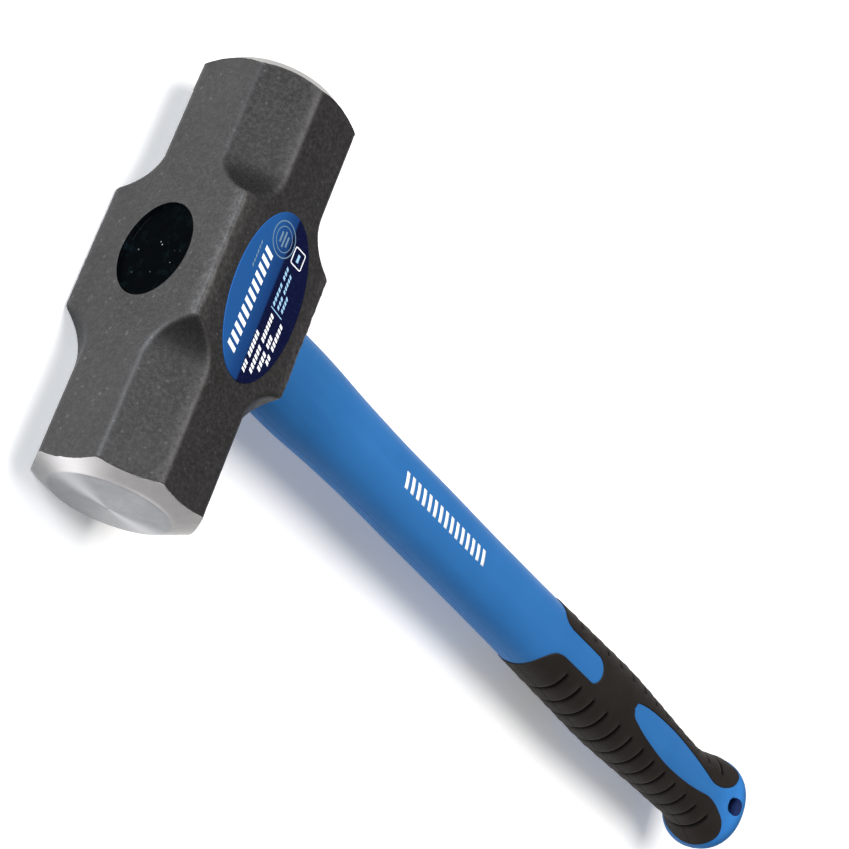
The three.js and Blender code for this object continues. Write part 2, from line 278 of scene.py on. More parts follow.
def bumps(points, size, octaves=3, seed=0):
    """Smooth noise from -1 to 1 at points in millimetres, with features about size across."""
    flat = np.asarray(points, float).reshape(-1, 3) / size + 17.3 * seed
    values = [noise.fractal(Vector(p), 0.7, 2.1, octaves) for p in flat.tolist()]
    return np.clip(np.array(values), -1, 1).reshape(np.asarray(points).shape[:-1])


def smooth_max(a, b, reach):
    """The larger of a and b, rounded over reach."""
    near = np.clip(1 - np.abs(a - b) / reach, 0, 1)
    return np.maximum(a, b) + near ** 2 * reach / 4


def smooth_step(x, low, high):
    t = np.clip((x - low) / (high - low), 0, 1)
    return t * t * (3 - 2 * t)


def catmull_rom(points, per_span):
    """A centripetal curve through points, as an array with per_span steps in each span."""
    points = np.asarray(points, float)
    padded = np.vstack([2 * points[0] - points[1], points, 2 * points[-1] - points[-2]])
    out = []
    for p0, p1, p2, p3 in zip(padded, padded[1:], padded[2:], padded[3:]):
        t01, t12, t23 = (math.sqrt(np.linalg.norm(b - a)) for a, b in ((p0, p1), (p1, p2), (p2, p3)))
        m1 = t12 * ((p1 - p0) / t01 - (p2 - p0) / (t01 + t12)) + (p2 - p1)
        m2 = t12 * ((p3 - p2) / t23 - (p3 - p1) / (t12 + t23)) + (p2 - p1)
        for t in np.arange(per_span) / per_span:
            out.append((2 * t ** 3 - 3 * t ** 2 + 1) * p1 + (t ** 3 - 2 * t ** 2 + t) * m1
                       + (3 * t ** 2 - 2 * t ** 3) * p2 + (t ** 3 - t ** 2) * m2)
    out.append(points[-1])
    return np.array(out)


# ---- material helpers ----

class Finish:
    """One procedural material built round a Principled shader. Coordinates are in metres."""

    def __init__(self, name, **constants):
        self.material = bpy.data.materials.new(name)
        self.material.use_nodes = True
        self.tree = self.material.node_tree
        self.shader = self.tree.nodes["Principled BSDF"]
        self.set(**constants)

    def put(self, socket, value):
        if isinstance(value, bpy.types.NodeSocket):
            self.tree.links.new(value, socket)
        else:
            socket.default_value = value

    def node(self, kind, inputs=(), output=0, **settings):
        node = self.tree.nodes.new(kind)
        for key, value in settings.items():
            setattr(node, key, value)
        for key, value in dict(inputs).items():
            self.put(node.inputs[key], value)
        return node.outputs[output]

    def place(self):
        return self.node("ShaderNodeTexCoord", output="Object")

    def math(self, operation, a, b=0.0, clamp=False):
        return self.node("ShaderNodeMath", {0: a, 1: b}, operation=operation, use_clamp=clamp)

    def noise(self, scale, detail=3.0, roughness=0.6, stretch=None):
        vector = self.place()
        if stretch:
            vector = self.node("ShaderNodeMapping", {"Vector": vector, "Scale": stretch})
        inputs = {"Vector": vector, "Scale": scale, "Detail": detail, "Roughness": roughness}
        return self.node("ShaderNodeTexNoise", inputs)

    def spots(self, scale):
        inputs = {"Vector": self.place(), "Scale": scale}
        return self.node("ShaderNodeTexVoronoi", inputs, output="Distance")

    def step(self, value, low, high, out_low=0.0, out_high=1.0):
        return self.node(
            "ShaderNodeMapRange",
            {"Value": value, "From Min": low, "From Max": high, "To Min": out_low, "To Max": out_high},
            interpolation_type="SMOOTHSTEP",
        )

    def mix(self, factor, a, b):
        return self.node("ShaderNodeMix", {0: factor, 6: a, 7: b}, output=2, data_type="RGBA")

    def tint(self, base, factor, amount, color):
        return self.mix(self.math("MULTIPLY", factor, amount), base, color)

    def attribute(self, name):
        return self.node("ShaderNodeAttribute", output="Fac", attribute_name=name)

    def bump(self, height, strength, distance):
        inputs = {"Height": height, "Strength": strength, "Distance": distance}
        return self.node("ShaderNodeBump", inputs)

    def set(self, **inputs):
        for key, value in inputs.items():
            self.put(self.shader.inputs[key.replace("_", " ")], value)
        return self.material


def rgb(r, g, b):
    return (r, g, b, 1.0)


# ---- materials ----

def make_paint():
    """Fine-speckled charcoal paint over a forged surface, rubbed lighter along the edges, with painted shade
    darkening the hollows where the arms run into the cheeks.
    """
    f = Finish("head_paint", Metallic=0.0, Specular_IOR_Level=0.3)
    grain = f.step(f.noise(900, 5, 0.78), 0.4, 0.66)
    mottle = f.step(f.noise(75, 5, 0.65), 0.3, 0.7)
    cloud = f.step(f.noise(22, 3, 0.55), 0.35, 0.68)
    spots = f.step(f.spots(420.0), 0.08, 0.26, 1, 0)
    speck = f.math("MULTIPLY", spots, f.step(f.noise(330, 3, 0.7), 0.45, 0.6))
    worn = f.math("MULTIPLY", f.attribute("wear"), f.step(f.noise(560, 6, 0.8), 0.34, 0.62))
    base = f.mix(mottle, rgb(0.0062, 0.0054, 0.0052), rgb(0.0112, 0.0100, 0.0098))
    base = f.tint(base, cloud, 0.3, rgb(0.017, 0.016, 0.0165))
    base = f.tint(base, grain, 0.55, rgb(0.032, 0.030, 0.030))
    base = f.tint(base, speck, 0.26, rgb(0.11, 0.11, 0.11))
    base = f.tint(base, worn, 0.5, rgb(0.075, 0.073, 0.072))
    # Painted shade: the hollows where the arms run into the cheeks are darkened almost to black.
    base = f.tint(base, f.attribute("hollow_shade"), 0.9, rgb(0.004, 0.0036, 0.0035))
    rough = f.step(grain, 0, 1, 0.46, 0.58)
    height = f.math("ADD", f.math("MULTIPLY", f.noise(1000, 4, 0.7), 0.6), f.noise(230, 3, 0.5))
    normal = f.bump(height, 0.5, 0.00022)
    return f.set(Base_Color=base, Roughness=rough, Normal=normal)


def make_steel():
    """Bare turned steel: rings round the head's axis, a finer face, and painted highlights: a bright streak
    across the face and brighter sectors of the chamfer. The far end's steel is darkened as painted shade.
    """
    f = Finish("face_steel", Metallic=1.0, Anisotropic=0.6)
    middle = (HEAD_X + TURNING_AXIS_X * MM, 0, MID_Z)
    axis = f.node("ShaderNodeVectorMath", {0: f.place(), 1: middle}, operation="SUBTRACT")
    flat = f.node("ShaderNodeVectorMath", {0: axis, 1: (1, 0, 1)}, operation="MULTIPLY")
    radius = f.node("ShaderNodeVectorMath", {0: flat}, output="Value", operation="LENGTH")
    parts = [f.node("ShaderNodeSeparateXYZ", {0: flat}, output=k) for k in ("X", "Z")]
    angle = f.math("ARCTAN2", parts[1], parts[0])
    rings = f.node(
        "ShaderNodeTexNoise", {"W": f.math("MULTIPLY", radius, 5200), "Scale": 1.0, "Detail": 3.0},
        noise_dimensions="1D",
    )

    def sector(degrees, sharpness):
        turned = f.math("COSINE", f.math("SUBTRACT", angle, math.radians(degrees)))
        return f.math("POWER", f.math("ABSOLUTE", turned), sharpness)

    # Painted highlights fixed on the steel: a bright streak across the face, and brighter sectors round the
    # chamfer.
    streak = sector(10, 18.0)
    lit = f.math("ADD", sector(178, 12.0), f.math("MULTIPLY", sector(107, 9.0), 0.3), clamp=True)
    near_rim = TURNED[-1]["radius"] * MM
    outer = f.step(radius, near_rim - 0.0004, near_rim + 0.0003)
    # The lighter colour of each pair is the painted highlight.
    disc = f.mix(streak, rgb(0.150, 0.157, 0.169), rgb(0.40, 0.405, 0.43))
    chamfer = f.mix(lit, rgb(0.225, 0.219, 0.220), rgb(0.68, 0.66, 0.67))
    base = f.mix(outer, disc, chamfer)
    base = f.tint(base, f.step(rings, 0.35, 0.75), 0.28, rgb(0.42, 0.42, 0.42))
    cloud = f.step(f.noise(260, 5, 0.7), 0.35, 0.7)
    base = f.tint(base, cloud, 0.12, rgb(0.55, 0.53, 0.5))
    # Painted shade: the far end's steel is darkened, though both ends are the same steel.
    far_end_shade = f.step(f.node("ShaderNodeSeparateXYZ", {0: axis}, output="Y"), -0.01, 0.01)
    base = f.tint(base, far_end_shade, 0.88, rgb(0.105, 0.097, 0.085))
    rough = f.step(rings, 0.2, 0.8, 0.3, 0.42)
    normal = f.bump(rings, 0.12, 0.00005)
    tangent = f.node("ShaderNodeTangent", direction_type="RADIAL", axis="Y")
    return f.set(Base_Color=base, Roughness=rough, Normal=normal, Tangent=tangent)


def make_resin():
    """Poured glossy black resin with dust and small bubbles in its surface."""
    f = Finish("eye_resin", IOR=1.16, Specular_IOR_Level=0.03)
    murk = f.step(f.noise(260, 4, 0.65), 0.5, 0.75)
    spots = f.step(f.spots(300.0), 0.03, 0.09, 1, 0)
    dust = f.math("MULTIPLY", spots, f.step(f.noise(210, 2, 0.6), 0.46, 0.54))
    base = f.mix(murk, rgb(0.0006, 0.0009, 0.0012), rgb(0.0015, 0.004, 0.005))
    base = f.mix(dust, base, rgb(0.16, 0.18, 0.18))
    rough = f.step(dust, 0, 1, 0.1, 0.7)
    normal = f.bump(f.noise(420, 3, 0.5), 0.22, 0.0003)
    return f.set(Base_Color=base, Roughness=rough, Normal=normal)


def make_blue():
    """Satin blue moulded plastic with faint flow marks and handling scratches."""
    f = Finish("jacket_blue", Specular_IOR_Level=0.02)
    cloud = f.step(f.noise(28, 3, 0.5), 0.3, 0.7)
    texture = f.noise(1700, 2, 0.5)
    streak = f.noise(60, 2, 0.5, stretch=(0.25, 3.0, 3.0))
    scratch = f.step(f.noise(95, 5, 0.72, stretch=(0.5, 2.2, 1.0)), 0.715, 0.75)
    base = f.mix(cloud, rgb(0.025, 0.130, 0.352), rgb(0.029, 0.144, 0.38))
    base = f.tint(base, f.step(streak, 0.45, 0.8), 0.25, rgb(0.035, 0.18, 0.45))
    base = f.tint(base, scratch, 0.3, rgb(0.12, 0.34, 0.6))
    rough = f.step(texture, 0.3, 0.7, 0.32, 0.42)
    normal = f.bump(texture, 0.1, 0.00005)
    return f.set(Base_Color=base, Roughness=rough, Normal=normal)


def make_hole_shade():
    """Painted shade for the lanyard hole's wall: the blue plastic darkened almost to black."""
    f = Finish("hole_shade", Specular_IOR_Level=0.1)
    base = f.mix(f.noise(900, 3, 0.6), rgb(0.003, 0.008, 0.04), rgb(0.006, 0.016, 0.07))
    return f.set(Base_Color=base, Roughness=f.step(f.noise(1500, 2, 0.5), 0.3, 0.7, 0.6, 0.75))


def make_grip_rubber():
    """Matt warm black rubber with a fine spark-eroded texture, a painted highlight on the grooves' raised
    lips, and painted shade in the creases and beside the parting ridge.
    """
    f = Finish("grip_rubber", Specular_IOR_Level=0.06)
    texture = f.noise(1500, 3, 0.6)
    cloud = f.step(f.noise(55, 3, 0.6), 0.3, 0.7)
    base = f.mix(cloud, rgb(0.0150, 0.0122, 0.0108), rgb(0.0195, 0.0162, 0.0142))
    base = f.tint(base, f.step(texture, 0.55, 0.8), 0.5, rgb(0.033, 0.029, 0.026))
    # Painted highlight: the grooves' raised lips are lightened.
    base = f.tint(base, f.attribute("lip_highlight"), 0.4, rgb(0.045, 0.039, 0.034))
    # Painted shade: the creases and a thin line beside the parting ridge are darkened almost to black.
    base = f.mix(f.attribute("crease_shade"), base, rgb(0.0012, 0.001, 0.001))
    rough = f.step(texture, 0.3, 0.7, 0.5, 0.66)
    normal = f.bump(texture, 0.4, 0.00009)
    return f.set(Base_Color=base, Roughness=rough, Normal=normal)


def make_label_film():
    """Printed film: blue towards the eye, navy towards the handle, with a soft border."""
    f = Finish("label_film", Specular_IOR_Level=0.04)
    place = f.node("ShaderNodeSeparateXYZ", {0: f.place()}, output="X")
    across = f.math("SUBTRACT", place, (LABEL_LOW.x + LABEL_HIGH.x) / 2)
    navy = f.step(across, 0.0002, 0.0014)
    deep = f.step(across, -0.009, 0.001)
    base = f.mix(deep, rgb(0.0125, 0.072, 0.23), rgb(0.007, 0.036, 0.135))
    base = f.mix(navy, base, rgb(0.0026, 0.0042, 0.027))
    grain = f.noise(1900, 2, 0.5)
    base = f.tint(base, f.step(grain, 0.5, 0.8), 0.06, rgb(0.1, 0.16, 0.3))
    rough = f.step(f.noise(160, 3, 0.5), 0.3, 0.7, 0.26, 0.34)
    normal = f.bump(f.noise(90, 2, 0.5), 0.08, 0.0004)
    return f.set(Base_Color=base, Roughness=rough, Normal=normal)


def make_ink(name, color, worn_color):
    """Flat printing ink with a little unevenness."""
    f = Finish(name, Specular_IOR_Level=0.35)
    patchy = f.step(f.noise(700, 3, 0.6), 0.45, 0.75)
    base = f.mix(f.math("MULTIPLY", patchy, 0.35), rgb(*color), rgb(*worn_color))
    rough = f.step(patchy, 0, 1, 0.4, 0.55)
    return f.set(Base_Color=base, Roughness=rough)


def make_fibreglass():
    """Pultruded glass fibre, with its strands along the handle."""
    f = Finish("core_fibreglass", Specular_IOR_Level=0.5)
    strands = f.noise(500, 3, 0.6, stretch=(0.03, 1.0, 1.0))
    base = f.mix(strands, rgb(0.42, 0.30, 0.08), rgb(0.62, 0.50, 0.2))
    normal = f.bump(strands, 0.3, 0.0001)
    return f.set(Base_Color=base, Roughness=f.step(strands, 0.3, 0.7, 0.4, 0.6), Normal=normal)


def make_floor_finish():
    f = Finish(
        "floor_matt", Specular_IOR_Level=0.1, Emission_Color=rgb(1, 1, 1), Emission_Strength=FLOOR_GLOW,
    )
    base = f.mix(f.noise(3, 2, 0.5), rgb(0.93, 0.93, 0.935), rgb(0.95, 0.95, 0.95))
    return f.set(Base_Color=base, Roughness=0.9)


# ---- head ----

def facet_distance():
    return (HALF_HEAD + HEAD["facet_half_width"]) / math.sqrt(2)


def head_field(out_x, out_z, along):
    """Signed distance to the forged head's sides, how worn the paint is, and how much painted shade darkens
    it in the hollows.
    """
    flat_x, flat_z = np.abs(out_x) - HALF_HEAD, np.abs(out_z) - HALF_HEAD
    cheek = smooth_max(flat_x, flat_z, HEAD["cheek_rounding"])
    facet = facet_distance()
    radius = HEAD["run_out_radius"]
    rise = HALF_HEAD * math.sqrt(2) - facet
    tangent = HEAD["run_out_start"] + math.sqrt(radius ** 2 - (radius - rise) ** 2)
    diagonal = (np.abs(out_x) + np.abs(out_z)) / math.sqrt(2)
    along = np.abs(along)
    sweep = radius - np.hypot(diagonal - facet - radius, along - tangent)
    facets = np.where(along > tangent, diagonal - facet, sweep)
    field = smooth_max(cheek, facets, HEAD["arm_rounding"])
    reach = HEAD["worn_reach"]
    on_facet = facets > cheek
    near_arm = np.clip(1 - np.abs(cheek - facets) / np.where(on_facet, reach, reach / 4), 0, 1)
    near_arm *= np.where((flat_z > flat_x) & (along > tangent - 6), 1.0, 0.1)
    near_cheek = np.clip(1 - np.abs(flat_x - flat_z) / reach, 0, 1)
    wear = np.maximum(near_arm, np.where(on_facet, 0, near_cheek)) ** 1.5
    # Painted shade for the hollows where the arms run into the cheeks, along the run-out's sweep.
    shade_along = smooth_step(-along, -tangent - 1.5, -tangent + 6.5)
    hollow_shade = shade_along * smooth_step(facets - cheek, -0.2, 1.4)
    return field, wear, hollow_shade


def head_radius(angles, along):
    """Distance from the head's axis to its side, the wear and the painted shade of the hollows there."""
    low = np.full(np.broadcast(angles, along).shape, 15.0)
    high = np.full_like(low, 34.0)
    for _ in range(26):
        middle = (low + high) / 2
        inside = head_field(middle * np.cos(angles), middle * np.sin(angles), along)[0] < 0
        low = np.where(inside, middle, low)
        high = np.where(inside, high, middle)
    wear, hollow_shade = head_field(low * np.cos(angles), low * np.sin(angles), along)[1:]
    return low, wear, hollow_shade


def face_height(radius, end):
    """How far the turned end reaches along the head at a distance from the turning axis."""
    face, crown = TURNED[end]["radius"], TURNED[end]["crown"]
    sphere = (face ** 2 + crown ** 2) / (2 * crown)
    dome = HALF_HEAD_LENGTH - (sphere - np.sqrt(sphere ** 2 - radius ** 2))
    cone = HALF_HEAD_LENGTH - crown - (radius - face) * math.tan(TURNED[end]["angle"])
    return -smooth_max(-dome, -cone, HEAD["rim_rounding"])


def arm(angles, end):
    """Rows of points from the middle of the head to just short of the pole of one face.

    The points are measured from the middle of the head. The wear and the painted shade of the hollows at each
    point and the number of painted rows come with them.
    """
    columns = len(angles)
    turning = np.array([TURNING_AXIS_X, 0.0])
    unit = np.stack([np.cos(angles), np.sin(angles)], axis=-1)
    end_along = np.full(columns, 60.0)
    for _ in range(3):
        edge = head_radius(angles, end_along)[0][:, None] * unit
        end_along = face_height(np.linalg.norm(edge - turning, axis=-1), end)
    edge_points = np.insert(edge, 1, end * 60, axis=-1)
    end_along = end_along + HEAD["ragged_paint"] * bumps(edge_points, 2.5, 3, seed=4)
    fixed = np.concatenate([
        np.arange(0, 17, 1.1), np.arange(17, 24, 0.4), np.arange(24, 34, 0.75), np.arange(34, 55, 1.3),
    ])
    along = [np.full(columns, y) for y in fixed]
    along += [fixed[-1] + t * (end_along - fixed[-1]) for t in (0.2, 0.4, 0.6, 0.8, 0.92, 0.98, 1)]
    along = np.array(along)
    radius, wear, hollow_shade = head_radius(angles[None, :], along)
    painted = radius[..., None] * unit
    wear[-1] = np.maximum(wear[-1], 0.6)

    rim = TURNED[end]["radius"]
    from_axis = painted[-1] - turning
    reach = np.linalg.norm(from_axis, axis=-1)
    steel = [reach - 0.05, reach - 0.3]
    steel += [steel[-1] + t * (rim + 0.7 - steel[-1]) for t in np.linspace(0, 1, 12)[1:]]
    steel += [np.full(columns, r) for r in np.linspace(rim + 0.4, rim - 1.2, 6)]
    steel += [np.full(columns, r) for r in np.linspace(rim - 2.2, 0.8, 14)]
    steel = np.array(steel)
    turned = turning + (from_axis / reach[:, None]) * steel[..., None]
    flat = np.vstack([painted, turned])
    heights = end * np.vstack([along, face_height(steel, end)])
    points = np.stack([flat[..., 0], heights, flat[..., 1]], axis=-1)
    bare = np.zeros_like(steel)
    return points, np.vstack([wear, bare]), np.vstack([hollow_shade, bare]), len(along)


def make_head(paint, steel, resin):
    """The forging: painted sides, flash line and two turned steel ends, with the eye cut out."""
    columns = 256
    angles = full_turn(columns)
    near, near_wear, near_hollow_shade, near_painted = arm(angles, -1)
    far, far_wear, far_hollow_shade, far_painted = arm(angles, 1)
    centre = np.array([HEAD_X / MM, 0, MID_Z / MM])
    points = centre + np.vstack([near[:0:-1], far])
    wear = np.vstack([near_wear[:0:-1], far_wear])
    hollow_shade = np.vstack([near_hollow_shade[:0:-1], far_hollow_shade])
    along = points[..., 1]
    first_paint = len(near) - near_painted
    last_paint = len(near) - 1 + far_painted - 1
    unit = np.stack([np.cos(angles), np.zeros(columns), np.sin(angles)], axis=-1)

    forged = FORGED["hollows"] * (1 + bumps(points, 16, 3))
    forged = forged + FORGED["pitting"] * (1 + bumps(points, 3.2, 2, seed=1))
    cheek_edge = np.exp(-((np.abs(np.sin(2 * angles)) - 1) / FORGED["flash_width"]) ** 2)
    upper = np.where(np.sin(angles) > 0, 1.0, 0.2)
    flash = cheek_edge[None, :] * upper * smooth_step(-np.abs(along), -21.5, -18.5)
    forged = forged + flash * FORGED["flash"] * (0.5 + 0.5 * bumps(points, 1.7, 3, seed=2))
    rows = np.arange(len(points))
    painted = (rows > first_paint) & (rows < last_paint)
    points -= (forged * painted[:, None])[..., None] * unit
    wear = np.maximum(wear, flash * (0.35 + 0.65 * (bumps(points, 1.3, 2, seed=3) > 0)))

    shell = Shell()
    ids = shell.add(points)
    slots = [0 if first_paint <= row < last_paint else 1 for row in range(len(ids) - 1)]
    shell.grid(ids, slot_rows=slots)
    for end, edge in ((-1, ids[0]), (1, ids[-1])):
        pole = shell.add([[centre[0] + TURNING_AXIS_X, end * HALF_HEAD_LENGTH, centre[2]]])[0]
        shell.fan(edge, pole, slot=1)
    obj = shell.build("head_forging", [paint, steel, resin])
    set_attribute(obj, "wear", np.append(wear.ravel(), [0.0, 0.0]))
    # Painted shade for the hollows where the arms meet the cheeks.
    set_attribute(obj, "hollow_shade", np.append(hollow_shade.ravel(), [0.0, 0.0]))
    cut(obj, make_eye_cutter([paint, steel, resin]))
    return obj


def rounded_section(half_y, half_z, angles, exponent):
    """y and z round a superellipse."""
    c, s = np.cos(angles), np.sin(angles)
    y = np.sign(c) * half_y * np.abs(c) ** (2 / exponent)
    z = np.sign(s) * half_z * np.abs(s) ** (2 / exponent)
    return y, z


def ring(distance, half_y, half_z, angles, exponent=2.0, offset=0.0):
    """Points round the handle's axis at a distance from the top of the head."""
    y, z = rounded_section(half_y, half_z, angles, exponent)
    x = np.full_like(y, TOP_X / MM + distance)
    return np.stack([x, y + offset, z + MID_Z / MM], axis=-1)


def loft(shell, rings, slot=0):
    """A closed shell through rings, with a middle point at both ends."""
    ids = shell.add(np.array(rings))
    shell.grid(ids, slot)
    first = shell.add([np.mean(rings[0], axis=0)])[0]
    last = shell.add([np.mean(rings[-1], axis=0)])[0]
    shell.fan(ids[0], first, slot, flip=True)
    shell.fan(ids[-1], last, slot)
    return ids


def eye_ring(depth, extra, angles):
    """The eye's outline at a depth below the top of the head, larger all round by extra."""
    share = depth / (2 * HALF_HEAD)
    half = EYE["half_length"] - EYE["taper"] * share
    return ring(depth, half + extra, half * EYE["aspect"] + extra, angles)


def make_eye_cutter(materials):
    """Cuts the eye, and leaves resin smeared on its wall."""
    angles = full_turn(160)
    length = 2 * HALF_HEAD
    mouth = EYE["mouth"]
    turns = np.linspace(0, math.pi / 2, 5)
    rings = [eye_ring(-1.0, mouth, angles)]
    rings += [eye_ring(mouth * (1 - math.cos(t)), mouth * (1 - math.sin(t)), angles) for t in turns]
    rings += [eye_ring(length - mouth * math.sin(t), mouth * (1 - math.cos(t)), angles) for t in turns]
    rings += [eye_ring(length + 1.0, mouth, angles)]
    shell = Shell()
    loft(shell, rings, slot=2)
    return shell.build("eye_cutter", materials)


def core_hollow():
    """The hollow for the core: half width, half thickness, and its ends from the top of the head."""
    half_y = (CORE_HIGH.y - CORE_LOW.y) / 2 / MM + CORE_CLEARANCE
    half_z = (CORE_HIGH.z - CORE_LOW.z) / 2 / MM + CORE_CLEARANCE
    start = (CORE_LOW.x - TOP_X) / MM - CORE_CLEARANCE
    end = (CORE_HIGH.x - TOP_X) / MM + CORE_CLEARANCE
    return half_y, half_z, start, end


def make_resin_plug(resin):
    """The resin in the eye: an uneven top with a meniscus, and a hollow for the core below."""
    angles = full_turn(128)
    top = (RESIN_LOW.x - TOP_X) / MM
    bottom = (RESIN_HIGH.x - TOP_X) / MM
    climb = top - EYE["mouth"] - 0.1
    rings = []
    for share in np.concatenate([np.linspace(0.02, 0.86, 18), np.linspace(0.88, 1, 12)]):
        wall_gap = (1 - share) * EYE["half_length"]
        outline = eye_ring(top, -RESIN["side_gap"], angles)
        centre = outline.mean(axis=0)
        points = centre + (outline - centre) * share
        points[:, 0] -= climb * math.exp(-wall_gap / RESIN["meniscus"])
        points[:, 0] += RESIN["unevenness"] * bumps(points, 6, 3, seed=5) * min(1, wall_gap / 1.5)
        rings.append(points)
    rings.append(eye_ring(bottom, -RESIN["foot_gap"], angles))
    core_y, core_z, core_top, _ = core_hollow()
    rings.append(ring(bottom, core_y, core_z, angles))
    rings.append(ring(core_top, core_y, core_z, angles))
    shell = Shell()
    loft(shell, rings)
    return shell.build("eye_resin_plug", [resin])


# ---- label ----

def label_point(across, along, height=0.0):
    """A point on the label's film, from its middle: across towards the handle, along the head."""
    x = (LABEL_LOW.x + LABEL_HIGH.x) / 2 / MM + across
    return np.stack([x + 0 * along, along + 0 * x, FILM["top"] + height + 0 * (x + along)], axis=-1)


def label_bar(shell, across, start, end, height, slant=0.0, slot=0):
    """A plain bar of ink on the label. slant leans its ends, as a length along the label."""
    u, v = np.meshgrid(np.linspace(-0.5, 0.5, 3), np.linspace(0, 1, 5), indexing="ij")
    along = start + (end - start) * v + slant * u
    shell.slab(label_point(across + height * u, along, INK_HEIGHT), (0, 0, INK_THICKNESS), slot)


def make_film(film):
    """The oval label film, with a rounded edge."""
    angles = full_turn(128)
    rings = []
    for inset, drop in ((0, FILM["thickness"]), (0, 0.09), (0.03, 0.035), (0.1, 0.005), (0.25, 0)):
        along = (FILM["half_length"] - inset) * np.sin(angles)
        across = (FILM["half_width"] - inset) * np.cos(angles)
        rings.append(label_point(across, along, -drop))
    centre = rings[-1].mean(axis=0)
    rings += [centre + (rings[-1] - centre) * share for share in (0.8, 0.55, 0.3, 0.1)]
    shell = Shell()
    loft(shell, rings)
    return shell.build("label_film", [film])


def make_label_marks(white, pale, grey):
    """Generic printing: a striped mark, dashes in place of words, two rings and a plain badge."""
    inks = {"white": 0, "pale": 1, "grey": 2}
    shell = Shell()
    mark = LABEL_MARK
    pitch = (mark["end"] - mark["start"]) / mark["stripes"]
    for i in range(mark["stripes"]):
        start = mark["start"] + i * pitch
        end = start + mark["share"] * pitch
        label_bar(shell, mark["across"], start, end, mark["height"], mark["slant"])
    for across, start, end, height, ink in LABEL_ROWS:
        count = max(1, round((end - start) / DASH["pitch"]))
        pitch = (end - start) / count
        for i in range(count):
            first = start + i * pitch
            last = first + DASH["share"] * pitch
            label_bar(shell, across, first, last, height, DASH["slant"], inks[ink])
    label_bar(shell, **DIVIDER, slot=inks["pale"])
    angles = full_turn(64)
    middle = EMBLEM["along"]
    for radii in EMBLEM["rings"]:
        rims = []
        for radius in radii:
            across = EMBLEM["across"] + radius * np.cos(angles)
            rims.append(label_point(across, middle + radius * np.sin(angles), INK_HEIGHT))
        shell.slab(np.array(rims), (0, 0, INK_THICKNESS), inks["grey"], closed=True)
    for offset, half in EMBLEM["bars"]:
        across = EMBLEM["across"] + offset
        label_bar(shell, across, middle - half, middle + half, EMBLEM["bar_height"], slot=inks["grey"])
    rims = []
    for inset in (0, BADGE["line"]):
        half, corner = BADGE["half"] - inset, max(BADGE["corner"] - inset, 0.05)
        turn = angles + math.pi / 64
        across = np.sign(np.cos(turn)) * (half - corner) + corner * np.cos(turn)
        along = np.sign(np.sin(turn)) * (half - corner) + corner * np.sin(turn)
        rims.append(label_point(BADGE["across"] + across, BADGE["along"] + along, INK_HEIGHT))
    shell.slab(np.array(rims), (0, 0, INK_THICKNESS), inks["white"], closed=True)
    start, end = BADGE["along"] - BADGE["bar_half"], BADGE["along"] + BADGE["bar_half"]
    label_bar(shell, BADGE["across"], start, end, BADGE["bar_height"], slot=inks["pale"])
    return shell.build("label_print", [white, pale, grey], smooth=False)


# ---- handle ----

STATION_CURVE = catmull_rom(HANDLE_STATIONS, 24)


def section(distance):
    """Half width, half thickness and sideways offset of the handle at a distance from the top."""
    half_y = np.interp(distance, STATION_CURVE[:, 0], STATION_CURVE[:, 1])
    half_z = np.interp(distance, STATION_CURVE[:, 0], STATION_CURVE[:, 2])
    t = (distance - BUTT_OFFSET["start"]) / (BUTT_OFFSET["end"] - BUTT_OFFSET["start"])
    offset = BUTT_OFFSET["most"] * np.sin(math.pi * np.clip(t, 0, 1)) ** 2
    return half_y, half_z, offset


def handle_points(distance, angle, height):
    """Points on the handle's outside, moved out by height."""
    half_y, half_z, offset = section(distance)
    y, z = rounded_section(half_y, half_z, angle, SECTION_EXPONENT)
    ny = np.sign(y) * np.abs(y / half_y) ** (SECTION_EXPONENT - 1) / half_y
    nz = np.sign(z) * np.abs(z / half_z) ** (SECTION_EXPONENT - 1) / half_z
    size = np.hypot(ny, nz)
    x = TOP_X / MM + distance + np.zeros_like(y)
    return np.stack([x, y + offset + height * ny / size, z + height * nz / size + MID_Z / MM], axis=-1)


def edge_angle(distance, y, side):
    """The angle from the side at which the handle's outside reaches y, on the side of its sign."""
    half_y, _, offset = section(distance)
    local = np.clip((y - side * offset) / half_y, 0, 1)
    return np.arccos(local ** (SECTION_EXPONENT / 2))


def grip_inner_edge():
    """Rows of the grip: distance, and the y at which its upper edge lies, 0 where it is whole."""
    front = catmull_rom(TONGUE_EDGE, 5)
    radius = front[-1][1]
    turn = np.linspace(0, math.pi / 2, 12)[1:]
    tip = np.stack([TONGUE_END - radius + radius * np.sin(turn), radius * np.cos(turn)], axis=-1)
    tip[-1, 1] = 0
    rear = catmull_rom(WINDOW_EDGE, 7)
    return front, tip, rear


def outline_distance(distance, y):
    """Distance in plan to the nearest edge of the grip."""
    front, tip, rear = grip_inner_edge()
    well_outside = 60
    front_line = np.vstack([[(front[0][0], well_outside)], front, tip])
    rear_line = np.vstack([rear, [(rear[-1][0], well_outside)]])
    nearest = np.full(np.broadcast(distance, y).shape, 1e9)
    for line in (front_line, rear_line):
        for a, b in zip(line[:-1], line[1:]):
            step = b - a
            px, py = distance - a[0], np.abs(y) - a[1]
            t = np.clip((px * step[0] + py * step[1]) / (step @ step), 0, 1)
            nearest = np.minimum(nearest, np.hypot(px - t * step[0], py - t * step[1]))
    return nearest


def in_grip(distance, y):
    """True where the grip covers the handle, in plan."""
    front, tip, rear = grip_inner_edge()
    inner = np.vstack([front, tip, rear])
    edge = np.interp(distance, inner[:, 0], inner[:, 1])
    return (distance > front[0][0]) & (distance < rear[-1][0]) & (np.abs(y) > edge)


